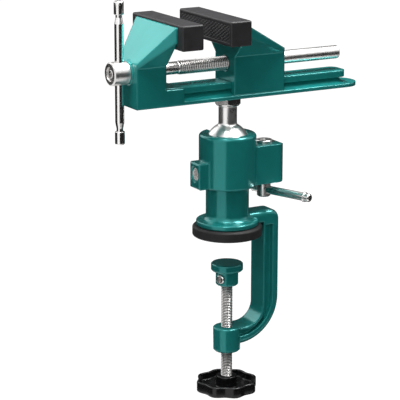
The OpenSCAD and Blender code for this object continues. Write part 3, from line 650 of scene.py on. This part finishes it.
def make_finishes(finish, sizes):
    """All finishes by name, made at the first call."""
    if FINISHES:
        return FINISHES
    FINISHES["enamel"] = enamel(finish.enamel, sizes.casting_edge)
    FINISHES["cap"] = cap_plastic(finish.cap)
    FINISHES["rubber"] = rubber(finish.rubber)
    FINISHES["plastic"] = wheel_plastic(finish.plastic)
    upright, lengthwise = (60, 60, 2400), (2400, 60, 60)
    for key, name, colour, rough, lay in (
        ("chrome_z", "Polished steel upright", finish.chrome, (0.12, 0.20), upright),
        ("chrome_x", "Polished steel lengthwise", finish.chrome, (0.16, 0.26), lengthwise),
        ("ball", "Satin ball", finish.chrome, (0.26, 0.34), upright),
        ("steel_x", "Screw steel lengthwise", finish.steel, (0.24, 0.36), lengthwise),
        ("steel_z", "Screw steel upright", finish.steel, (0.26, 0.38), upright),
        ("zinc", "Zinc plate", scaled(finish.steel, 1.3), (0.45, 0.60), upright),
        ("bronze", "Bronze", finish.bronze, (0.30, 0.42), upright),
    ):
        FINISHES[key] = turned_metal(name, colour, rough, lay)
    # Lead screw and spindle steel with painted shade in their thread grooves, between the given root and
    # crest radii
    FINISHES["thread_x"] = painted_groove_shade_metal(
        "Lead screw steel", finish.steel, (0.24, 0.34), screw_axis_z(), "X", 4.25 * MM, 4.60 * MM,
    )
    FINISHES["thread_z"] = painted_groove_shade_metal(
        "Spindle steel", finish.steel, (0.26, 0.36), 0.0, "Z", 3.65 * MM, 4.20 * MM,
    )
    return FINISHES


# Pieces


def screw_axis_z():
    """Height of the lead screw's axis, the middle of its hub."""
    lo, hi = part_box("screw_hub")
    return (lo.z + hi.z) / 2


def build_lead_screw(finishes, sizes):
    """Lead screw as one path along X: journal with the clip's groove, helical thread, plain rod.

    The thread starts 16.5 mm in from the back of the fixed cap. The holes for the handle bar and for
    its lock screw are cut out of the turned piece.
    """
    lo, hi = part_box("lead_screw")
    axis_z = screw_axis_z()
    clip_lo, clip_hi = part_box("screw_clip")
    cap_lo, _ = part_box("fixed_cap")
    crest_r = (hi.y - lo.y) / 2
    journal_r, rod_r = sizes.journal / 2, sizes.rod / 2
    groove_r = journal_r - 0.8 * MM
    thread_start = cap_lo.x + 16.5 * MM
    thread_end = thread_start + sizes.thread_length
    thread_depth, widening = 0.95 * MM, 1.2
    notch_x, notch_half, notch_depth = thread_start - 1.4 * MM, 0.5 * MM, 0.3 * MM
    front = rounded_path([
        (0, lo.x, 0), (journal_r, lo.x, 0.4 * MM),
        (journal_r, clip_lo.x - PLAY, 0), (groove_r, clip_lo.x, 0),
        (groove_r, clip_hi.x, 0), (journal_r, clip_hi.x + PLAY, 0),
        (journal_r, notch_x - notch_half, 0), (journal_r - notch_depth, notch_x, 0),
        (journal_r, notch_x + notch_half, 0), (journal_r, thread_start - HAIR, 0),
    ])
    thread = helix(
        thread_start, thread_end, (journal_r, rod_r), crest_r, thread_depth, sizes.screw_pitch, widening,
    )
    rear = rounded_path([
        (rod_r, thread_end + HAIR, 0), (rod_r, (thread_end + hi.x) / 2, 0), (rod_r, hi.x, 0.9 * MM),
        (0, hi.x, 0),
    ])
    points = along_x(with_thread(front, thread, rear), axis_z)
    screw = surface("lead_screw_threaded", points, sharp_deg=50)
    bar_lo, bar_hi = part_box("tommy_bar")
    bar_x = (bar_lo.x + bar_hi.x) / 2
    bar_hole_r, reach = (bar_hi.x - bar_lo.x) / 2 + 0.06 * MM, 12 * MM
    bar_hole = surface("bar_hole", moved(cylinder(bar_hole_r, -reach, reach), bar_x, 0, axis_z))
    lock_lo, lock_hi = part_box("bar_lock_screw")
    lock_r = (lock_hi.y - lock_lo.y) / 2 + PLAY
    lock_hole = surface("lock_hole", along_x(cylinder(lock_r, lock_lo.x, bar_x), axis_z))
    carve(screw, bar_hole, lock_hole)
    dress(screw, finishes["thread_x"], "screw", "lead_screw", slot="screw_steel")


def build_spindle(finishes, sizes):
    """Spindle as one path along Z: helical thread, then the plain end with the pad screw's groove."""
    lo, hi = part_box("spindle")
    crest_r = (hi.x - lo.x) / 2
    thread_depth = 0.70 * MM
    core_r, top_r = crest_r - thread_depth, crest_r - 0.1 * MM
    pad_lo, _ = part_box("swivel_pad")
    thread_top = pad_lo.z - 0.5 * MM
    screw_lo, screw_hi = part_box("pad_screw")
    groove_z = (screw_lo.z + screw_hi.z) / 2
    groove_r, groove_half, groove_edge = crest_r - 1.15 * MM, 2.4 * MM, 0.2 * MM
    low = rounded_path([(0, lo.z, 0), (core_r, lo.z, 0), (core_r, lo.z + HAIR / 2, 0)])
    thread = helix(lo.z + HAIR, thread_top, (core_r, top_r), crest_r, thread_depth, sizes.spindle_pitch)
    top = rounded_path([
        (top_r, thread_top + HAIR, 0), (crest_r, thread_top + 0.2 * MM, 0),
        (crest_r, groove_z - groove_half, 0), (groove_r, groove_z - groove_half, groove_edge),
        (groove_r, groove_z + groove_half, groove_edge), (crest_r, groove_z + groove_half, 0),
        (crest_r, hi.z, 0.7 * MM), (0, hi.z, 0),
    ])
    spindle = surface("spindle_threaded", with_thread(low, thread, top), sharp_deg=50)
    dress(spindle, finishes["thread_z"], "wheel", "spindle", slot="screw_steel")


def rounded_box(lo, hi, radius, cells, lift=None):
    """Box with rounded edges as six grids.

    Each point p of the plain box is pulled into the box that is smaller by the radius, giving c, and put
    at c + radius * (p - c) / |p - c|. Grid lines in the margin stand at radius * tan of equal angles, so
    that the facets are even. lift moves the points of the two faces across X.
    """
    lo, hi = np.array(lo), np.array(hi)
    margin = radius * (1 - np.tan(np.radians([45, 30, 15, 0])))
    lines = []
    for low, high, count in zip(lo, hi, cells):
        inner = np.linspace(low + radius, high - radius, count + 1)
        lines.append(np.concatenate([low + margin[:-1], inner, high - margin[:-1][::-1]]))
    grids = []
    for axis in range(3):
        u, v = [k for k in range(3) if k != axis]
        along_u, along_v = np.meshgrid(lines[u], lines[v], indexing="ij")
        for side in (lo[axis], hi[axis]):
            points = np.empty(along_u.shape + (3,))
            points[..., u], points[..., v], points[..., axis] = along_u, along_v, side
            core = np.clip(points, lo + radius, hi - radius)
            away = points - core
            points = core + radius * away / np.linalg.norm(away, axis=-1, keepdims=True)
            if (side == hi[axis]) != (axis == 1):
                points = points[:, ::-1]
            if lift is not None and axis == 0:
                points = lift(points, side)
            grids.append(points)
    return grids


def knurl(points, face_x, lo, hi, sizes):
    """Diamond grooves pressed into a gripping face.

    Two families of slanted grooves cross. The depth is knurl_depth times the larger of their two waves
    to the power 1.5, and it fades out towards the face's border.
    """
    bare, fading = 2.2 * MM, 0.8 * MM
    y, z = points[..., 1], points[..., 2]
    mid = (hi[2] + lo[2]) / 2
    across, up = y / (sizes.knurl_pitch * sizes.knurl_stretch), (z - mid) / sizes.knurl_pitch
    rising = np.abs(np.mod(across + up, 1.0) - 0.5) * 2
    falling = np.abs(np.mod(across - up, 1.0) - 0.5) * 2
    groove = np.maximum(rising, falling) ** 1.5
    border = np.minimum(np.minimum(y - lo[1], hi[1] - y), np.minimum(z - lo[2], hi[2] - z))
    fade = np.clip((border - bare) / fading, 0, 1)
    into = 1.0 if face_x == lo[0] else -1.0
    pressed = points.copy()
    pressed[..., 0] += into * sizes.knurl_depth * groove * fade
    return pressed


def gripping_block(name, lo, hi, grip_x, sizes):
    """Rounded block with diamond grooves in its face at grip_x, on a grid fine enough for them."""
    step = sizes.knurl_pitch / 6
    cells = [8] + [int(round((hi[k] - lo[k] - 2 * sizes.cap_edge) / step)) for k in (1, 2)]

    def lift(points, side):
        return knurl(points, side, lo, hi, sizes) if side == grip_x else points

    return surface(name, *rounded_box(lo, hi, sizes.cap_edge, cells, lift), sharp_deg=60)


def build_caps(finishes, sizes):
    """Jaw caps: rounded blocks with a diamond grip, hollow for the casting's core and head."""
    _, rail_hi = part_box("base_rail")
    head_half = rail_hi.y + PLAY
    core_half, core_depth = 29.5 * MM + PLAY, 13.4 * MM + PLAY
    core_low, core_high, core_edge = 2.16 * MM, 13.34 * MM, 0.3 * MM
    low_lip, cut = 1 * MM - PLAY, sizes.head_cut
    for node, inward, top_lip in (("fixed_cap", 1, 2.1 * MM), ("moving_cap", -1, 4.4 * MM)):
        lo, hi = (np.array(v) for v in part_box(node))
        back_x, grip_x = (lo[0], hi[0])[::inward]
        cap = gripping_block(node + "_moulded", lo, hi, grip_x, sizes)
        outside = back_x - inward * MM
        core_x = sorted((outside, back_x + inward * core_depth))
        head_x = sorted((outside, back_x + inward * sizes.head_recess))
        pocket = surface("pocket", *rounded_box(
            [core_x[0], -core_half, lo[2] + core_low], [core_x[1], core_half, lo[2] + core_high],
            core_edge, (1, 1, 1),
        ))
        low, high = lo[2] + low_lip, hi[2] - top_lip + PLAY
        outline = np.array([
            [cut - head_half, low], [head_half - cut, low], [head_half, low + cut],
            [head_half, high], [-head_half, high], [-head_half, low + cut],
        ])
        recess = surface("recess", prism(outline, *head_x))
        carve(cap, pocket, recess)
        dress(cap, finishes["cap"], CAD[node]["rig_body"], node, slot="jaw_rubber")


def build_tommy_bar(finishes, sizes):
    """Handle bar as one turned path, the upper half mirrored below, and a hollow knob on each end."""
    lo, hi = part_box("tommy_bar")
    x = (lo.x + hi.x) / 2
    top_lo, top_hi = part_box("bar_knob_upper")
    low_lo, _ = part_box("bar_knob_lower")
    z = (top_hi.z + low_lo.z) / 2
    bar_r, neck_r, spigot_r = 3.25 * MM, 2.35 * MM, 1.8 * MM
    half = (hi.z - lo.z) / 2
    knob = top_lo.z - z
    path = rounded_path([
        (0, 0, 0), (bar_r, 0, 0), (bar_r, knob - 6.5 * MM, 1.5 * MM), (neck_r, knob - 2.0 * MM, 0.8 * MM),
        (neck_r, knob - PLAY, 0), (spigot_r, knob - PLAY, 0), (spigot_r, half, 0.3 * MM), (0, half, 0),
    ])[2:]
    mirror = path[::-1] * np.array([1, -1])
    bar = surface("tommy_bar_turned", moved(revolve(np.concatenate([mirror, path])), x, 0, z))
    dress(bar, finishes["chrome_z"], "handle", "tommy_bar", slot="bright_steel")
    for node, sign in (("bar_knob_upper", 1), ("bar_knob_lower", -1)):
        k_lo, k_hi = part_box(node)
        knob_r, bore_r = (k_hi.x - k_lo.x) / 2, spigot_r + PLAY
        height = k_hi.z - k_lo.z
        floor = height - 1.46 * MM
        path = rounded_path([
            (bore_r, 0, 0), (knob_r, 0, 0.5 * MM), (knob_r, height, 1.0 * MM), (0, height, 0),
            (0, floor, 0), (bore_r, floor, 0), (bore_r, 0, 0),
        ])
        points = revolve(path) * np.array([1, 1, sign])
        base = k_lo.z if sign > 0 else k_hi.z
        piece = surface(node + "_turned", moved(points, x, 0, base))
        dress(piece, finishes["chrome_z"], "handle", node, slot="bright_steel")


def build_ball_stud(finishes, sizes):
    """Ball as an arc of its radius, a concave neck into the stem, and the threaded end.

    Along the neck, way goes from 0 to 1. The radius keeps (1 - way) squared of what it has over the
    stem's, and the height gains neck_height times way to the power 1.2.
    """
    lo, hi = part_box("ball_stud")
    ball_r = (hi.x - lo.x) / 2
    ball_z = lo.z + ball_r
    stem_r, stud_r = sizes.stem / 2, 5 * MM
    nut_lo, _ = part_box("stud_nut")
    neck_extra, neck_height = 0.6 * MM, 2.2 * MM
    join = math.asin((stem_r + neck_extra) / ball_r)
    t = np.linspace(math.pi, join, 72)
    ball = np.stack([ball_r * np.sin(t), ball_z + ball_r * np.cos(t)], axis=-1)
    ball[0, 0] = 0
    start_r, start_z = ball[-1]
    way = np.linspace(0, 1, 9)[1:]
    neck_r = stem_r + (start_r - stem_r) * (1 - way) ** 2
    neck_z = start_z + neck_height * way ** 1.2
    neck = np.stack([neck_r, neck_z], axis=-1)
    shoulder_z = nut_lo.z - PLAY
    rest = rounded_path([
        (stem_r, neck_z[-1] + 10 * HAIR, 0), (stem_r, shoulder_z, 0.8 * MM),
        (stud_r, shoulder_z, 0), (stud_r, hi.z, 0.9 * MM), (0, hi.z, 0),
    ])
    stud = surface("ball_stud_turned", revolve(np.concatenate([ball, neck, rest]), 128))
    dress(stud, finishes["ball"], "ball", "ball_stud", slot="bright_steel")


def build_hand_wheel(finishes, sizes):
    """Lobed hand wheel on a (turn, path) grid.

    A path point is (share, inset, z). With share 1 its radius is the lobed rim's less the inset, and
    with share 0 it is the inset itself. The rim's radius is the outer radius less lobe_depth times
    (1 - cos(lobes * (turn - phase))) / 2.
    """
    lo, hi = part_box("hand_wheel")
    outer, wall = 23.5 * MM, sizes.wheel_wall
    bottom, rim_top, hub_top = lo.z, lo.z + sizes.wheel_rim, hi.z
    floor_z, recess_z, seat_z = bottom + 3 * MM, bottom + 2 * MM, bottom + 3.8 * MM
    hub_r, recess_r, shank_r, bore_r = 7.8 * MM, 5.5 * MM, 2.7 * MM, 4.39 * MM
    rim = np.insert(rounded_path([
        (wall + 1.6 * MM, floor_z, 0), (wall, floor_z, 1.2 * MM), (wall, rim_top, 1.0 * MM),
        (0, rim_top, 1.3 * MM), (0, bottom, 1.5 * MM), (5.0 * MM, bottom, 0),
    ], 6), 0, 1, axis=1)
    hub = np.insert(rounded_path([
        (8.0 * MM, bottom, 0), (recess_r, bottom, 0.4 * MM), (recess_r, recess_z, 0),
        (shank_r, recess_z, 0), (shank_r, seat_z, 0), (bore_r, seat_z, 0),
        (bore_r, hub_top, 0), (hub_r, hub_top, 0.8 * MM), (hub_r, floor_z, 1.0 * MM),
        (hub_r + 2 * MM, floor_z, 0),
    ]), 0, 0, axis=1)
    share, inset, z = np.concatenate([rim, hub, rim[:1]]).T
    t = circle(240)
    edge = outer - sizes.lobe_depth * (1 - np.cos(sizes.wheel_lobes * (t - sizes.wheel_phase))) / 2
    radius = share * (edge - inset) + (1 - share) * inset
    wheel = surface("hand_wheel_moulded", polar(radius, t, z), sharp_deg=50)
    dress(wheel, finishes["plastic"], "wheel", "hand_wheel", slot="wheel_plastic")


def build_castings(finishes, sizes):
    """Castings: copies of the solids with rounded edges, and soft creases on the jaw heads."""
    for node, edge, soft in (
        ("clamp_frame", sizes.casting_edge, 0),
        ("socket_housing", sizes.casting_edge, 0),
        ("base_rail", sizes.block_edge, sizes.soft_edge),
        ("moving_jaw", sizes.block_edge, sizes.soft_edge),
        ("swivel_pad", sizes.block_edge, 0),
    ):
        piece = cast_copy(node, node + "_cast", edge, soft=soft)
        dress(piece, finishes["enamel"], CAD[node]["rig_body"], node, slot="enamel")


def build_small_parts(finishes, sizes):
    """Small steel pieces and the rubber disc with rounded edges, and the inner pieces' finishes."""
    for node, finish in (
        ("screw_hub", "steel_x"), ("hub_washer", "steel_x"), ("stud_nut", "chrome_z"),
        ("cam_shaft", "steel_z"), ("cam_lever", "chrome_x"), ("lever_knob", "chrome_x"),
        ("pad_screw", "chrome_x"), ("guide_screw", "zinc"), ("wheel_screw", "steel_z"),
        ("bar_lock_screw", "steel_x"),
    ):
        piece = cast_copy(node, node + "_edged", sizes.steel_edge, segments=2)
        dress(piece, finishes[finish], CAD[node]["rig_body"], node)
    disc = cast_copy("bench_disc", "bench_disc_moulded", 0.5 * MM)
    dress(disc, finishes["rubber"], "clamp", "bench_disc", slot="pad_rubber")
    for node, finish in (
        ("ball_seat", "bronze"), ("brake_plunger", "bronze"), ("screw_clip", "steel_x"),
        ("jaw_nut", "bronze"), ("nut_lock_screw", "steel_x"),
    ):
        finish_node(node, finishes[finish])


# Studio


def view_axes(studio):
    """The camera's right, up and backward directions."""
    turn, rise, roll = studio.camera_azimuth, studio.camera_elevation, studio.camera_roll
    back = Vector((math.sin(turn) * math.cos(rise), -math.cos(turn) * math.cos(rise), math.sin(rise)))
    right = Vector((math.cos(turn), math.sin(turn), 0))
    up = back.cross(right)
    return (right * math.cos(roll) + up * math.sin(roll),
            up * math.cos(roll) - right * math.sin(roll), back)


def lamp(name, where, aim, size, power):
    """Rectangular area lamp at a place, facing a point."""
    data = bpy.data.lights.new(name, "AREA")
    data.shape = "RECTANGLE"
    data.size, data.size_y = size
    data.energy = power
    stand = add_object(name, data)
    stand.location = where
    stand.rotation_euler = (aim - where).to_track_quat("-Z", "Y").to_euler()


def empty_tree(owner, output):
    """Node tree of a material or world with only its output, and the output's surface socket."""
    tree = Tree(owner)
    tree.nodes.clear()
    return tree, tree.add(output).inputs["Surface"]


def stage_material(piece, name):
    """Gives a piece a new, empty material, and returns its node tree and surface socket."""
    material = bpy.data.materials.new(name)
    piece.data.materials.append(material)
    return empty_tree(material, "ShaderNodeOutputMaterial")


def seen(tree):
    """Socket that is 1 for what the camera sees, straight, reflected or through glass, and else 0."""
    path = tree.add("ShaderNodeLightPath")
    total = path.outputs["Is Camera Ray"]
    for kind in ("Is Glossy Ray", "Is Transmission Ray"):
        larger = tree.add("ShaderNodeMath")
        larger.operation = "MAXIMUM"
        tree.join(total, larger.inputs[0])
        tree.join(path.outputs[kind], larger.inputs[1])
        total = larger.outputs[0]
    return total


def upright(radius, low, high, start, stop, facing):
    """Part of a cylinder about Z, from start to stop degrees right of the camera's own direction."""
    t = np.radians(np.linspace(start, stop, 25)) + facing
    return polar(radius, t[:, None], np.array([low, high]))


def level(x_ends, y_ends, z):
    """Level rectangle as a grid of its four corners."""
    return np.array([[[x, y, z] for y in y_ends] for x in x_ends])


def panel(name, points, strength):
    """Panel on a grid of points, seen only in reflections."""
    piece = surface(name, points)
    for kind in ("camera", "diffuse", "shadow", "transmission", "volume_scatter"):
        setattr(piece, "visible_" + kind, False)
    tree, surface_in = stage_material(piece, name)
    tree.join(tree.add("ShaderNodeEmission", Strength=strength).outputs[0], surface_in)


def around(facing, turn_deg, rise_deg):
    """Direction turn_deg to the right of the camera's own direction and rise_deg above level."""
    turn, rise = facing + math.radians(turn_deg), math.radians(rise_deg)
    return Vector((math.cos(turn) * math.cos(rise), math.sin(turn) * math.cos(rise), math.sin(rise)))


def build_camera(studio):
    """Camera of the photograph, aimed at a point of the frame."""
    right, up, back = view_axes(studio)
    target = Vector((-14.49, 15.46, 24.59)) * MM
    camera_data = bpy.data.cameras.new("Camera")
    camera_data.sensor_width = 36.0
    camera_data.lens = studio.camera_lens
    camera_data.clip_end = 20.0
    camera = add_object("Camera", camera_data)
    turn = Matrix((right, up, back)).transposed().to_4x4()
    camera.matrix_world = Matrix.Translation(target + back * studio.camera_distance) @ turn
    bpy.context.scene.camera = camera


def floor_height(studio):
    """Height of the floor, below the lowest piece."""
    low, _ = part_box("wheel_screw")
    return low.z - studio.floor_drop


def build_floor(studio):
    """White floor that the lamps light, with a glow for the camera and reflections."""
    half, glow_share = 6.0, 0.8
    floor = surface("floor", level((-half, half), (-half, half), floor_height(studio)))
    tree, surface_in = stage_material(floor, "Floor")
    diffuse = tree.add("ShaderNodeBsdfDiffuse", Color=(*studio.floor_colour, 1))
    white = tree.add("ShaderNodeEmission", Color=(1, 1, 1, 1), Strength=studio.whiteness)
    share = tree.add("ShaderNodeMath")
    share.operation = "MULTIPLY"
    share.inputs[1].default_value = glow_share
    tree.join(seen(tree), share.inputs[0])
    blend = tree.add("ShaderNodeMixShader")
    for place, source in enumerate((share, diffuse, white)):
        tree.join(source.outputs[0], blend.inputs[place])
    tree.join(blend.outputs[0], surface_in)
    floor.visible_glossy = False


def build_world(studio):
    """White to the camera and in reflections, and an even dim light for everything else."""
    world = bpy.data.worlds.new("Studio")
    bpy.context.scene.world = world
    tree, surface_in = empty_tree(world, "ShaderNodeOutputWorld")
    blend = tree.add("ShaderNodeMixShader")
    tree.join(seen(tree), blend.inputs[0])
    for place, strength in ((1, studio.ambient), (2, studio.whiteness)):
        light = tree.add("ShaderNodeBackground", Color=(1, 1, 1, 1), Strength=strength)
        tree.join(light.outputs[0], blend.inputs[place])
    tree.join(blend.outputs[0], surface_in)


def build_studio(studio):
    """Camera, floor, world, three lamps, and the panels that the enamel and the metal reflect."""
    build_camera(studio)
    build_floor(studio)
    build_world(studio)
    right, _, back = view_axes(studio)
    left, over = -right, Vector((0, 0, 1))
    aim = Vector((0, 0, 0.06))
    facing = math.atan2(back.y, back.x)
    key_place = aim + left * 0.10 + over + back * 0.15
    fill_place = aim + back * 0.50 + left * 0.05 + over * 0.22
    window_place = aim + around(facing, -130, 26) * 1.15
    lamp("Key lamp", key_place, aim, (0.6, 0.7), studio.key_power)
    lamp("Fill lamp", fill_place, aim, (0.3, 0.3), studio.fill_power)
    lamp("Window lamp", window_place, aim, (0.7, 0.7), studio.window_power)
    for name, radius, low, high, start, stop, strength in (
        ("dark_panel_right", 1.05, -0.58, 0.15, -7, 132, 0.02),
        ("dark_panel_left", 1.05, -0.58, 0.15, -150, -58, 0.03),
        ("dark_panel_back", 1.10, -0.45, 0.90, 120, 212, 0.05),
        ("dark_panel_front", 1.08, 0.15, 0.42, 10, 90, 0.05),
        ("grey_panel_side", 1.25, 0.15, 1.05, -170, -88, 0.80),
        ("edge_light", 0.70, 0.86, 1.70, 60, 124, 24.0),
    ):
        panel(name, upright(radius, low, high, start, stop, facing), strength)
    # dark_patch: dark sheet on the floor, seen only in reflections, standing in for shade under the vise;
    # downward-facing faces reflect it dark
    panel("dark_patch", level((0.0, 0.7), (-0.20, 0.60), floor_height(studio) + MM), 0.04)
    bpy.context.scene.view_settings.view_transform = "Standard"


# Operators


class VisePiece:
    """What the operators share: they raise when the CAD frame is missing, and run their steps."""

    bl_options = {"REGISTER", "UNDO"}

    def execute(self, context):
        if not CAD:
            raise RuntimeError("the CAD frame has no nodes")
        self.build(*settings(context))
        return {"FINISHED"}

    def build(self, finish, sizes, studio):
        for step in self.steps:
            step(make_finishes(finish, sizes), sizes)


class VISE_OT_castings(VisePiece, Operator):
    """Build the enamelled castings with rounded edges"""

    bl_idname = "vise.castings"
    bl_label = "Castings"
    steps = (build_castings,)


class VISE_OT_caps(VisePiece, Operator):
    """Mould the jaw caps with their gripping faces"""

    bl_idname = "vise.caps"
    bl_label = "Jaw caps"
    steps = (build_caps,)


class VISE_OT_screws(VisePiece, Operator):
    """Cut the threads of the lead screw and the clamping spindle"""

    bl_idname = "vise.screws"
    bl_label = "Lead screw and spindle"
    steps = (build_lead_screw, build_spindle)


class VISE_OT_handle(VisePiece, Operator):
    """Turn the sliding handle bar and its knobs"""

    bl_idname = "vise.handle"
    bl_label = "Handle bar"
    steps = (build_tommy_bar,)


class VISE_OT_ball(VisePiece, Operator):
    """Turn the ball and its stem"""

    bl_idname = "vise.ball"
    bl_label = "Ball stud"
    steps = (build_ball_stud,)


class VISE_OT_wheel(VisePiece, Operator):
    """Mould the lobed hand wheel"""

    bl_idname = "vise.wheel"
    bl_label = "Hand wheel"
    steps = (build_hand_wheel,)


class VISE_OT_small_parts(VisePiece, Operator):
    """Finish the small steel, rubber and bronze pieces"""

    bl_idname = "vise.small_parts"
    bl_label = "Small parts"
    steps = (build_small_parts,)


class VISE_OT_studio(VisePiece, Operator):
    """Set the floor, the lamps, the reflected panels and the camera"""

    bl_idname = "vise.studio"
    bl_label = "Studio"

    def build(self, finish, sizes, studio):
        build_studio(studio)


class VISE_PT_build(Panel):
    """Lists the vise's operators and settings in the sidebar"""

    bl_idname = "VISE_PT_build"
    bl_label = "Ball joint vise"
    bl_space_type = "VIEW_3D"
    bl_region_type = "UI"
    bl_category = "Vise"

    def draw(self, context):
        layout = self.layout
        for operator in OPERATORS:
            layout.operator(operator.bl_idname)
        for group in settings(context):
            box = layout.box()
            for key in group.__annotations__:
                box.prop(group, key)


GROUPS = (
    (ViseFinish, "vise_finish"),
    (ViseSizes, "vise_sizes"),
    (ViseStudio, "vise_studio"),
)
OPERATORS = (
    VISE_OT_castings, VISE_OT_caps, VISE_OT_screws, VISE_OT_handle, VISE_OT_ball, VISE_OT_wheel,
    VISE_OT_small_parts, VISE_OT_studio,
)


def register():
    for group, name in GROUPS:
        bpy.utils.register_class(group)
        setattr(bpy.types.Scene, name, PointerProperty(type=group))
    for item in OPERATORS + (VISE_PT_build,):
        bpy.utils.register_class(item)


def unregister():
    for item in (VISE_PT_build,) + OPERATORS[::-1]:
        bpy.utils.unregister_class(item)
    for group, name in GROUPS[::-1]:
        delattr(bpy.types.Scene, name)
        bpy.utils.unregister_class(group)


def main():
    register()
    bpy.ops.vise.castings()
    bpy.ops.vise.caps()
    bpy.ops.vise.screws()
    bpy.ops.vise.handle()
    bpy.ops.vise.ball()
    bpy.ops.vise.wheel()
    bpy.ops.vise.small_parts()
    bpy.ops.vise.studio()


if __name__ == "__main__":
    main()
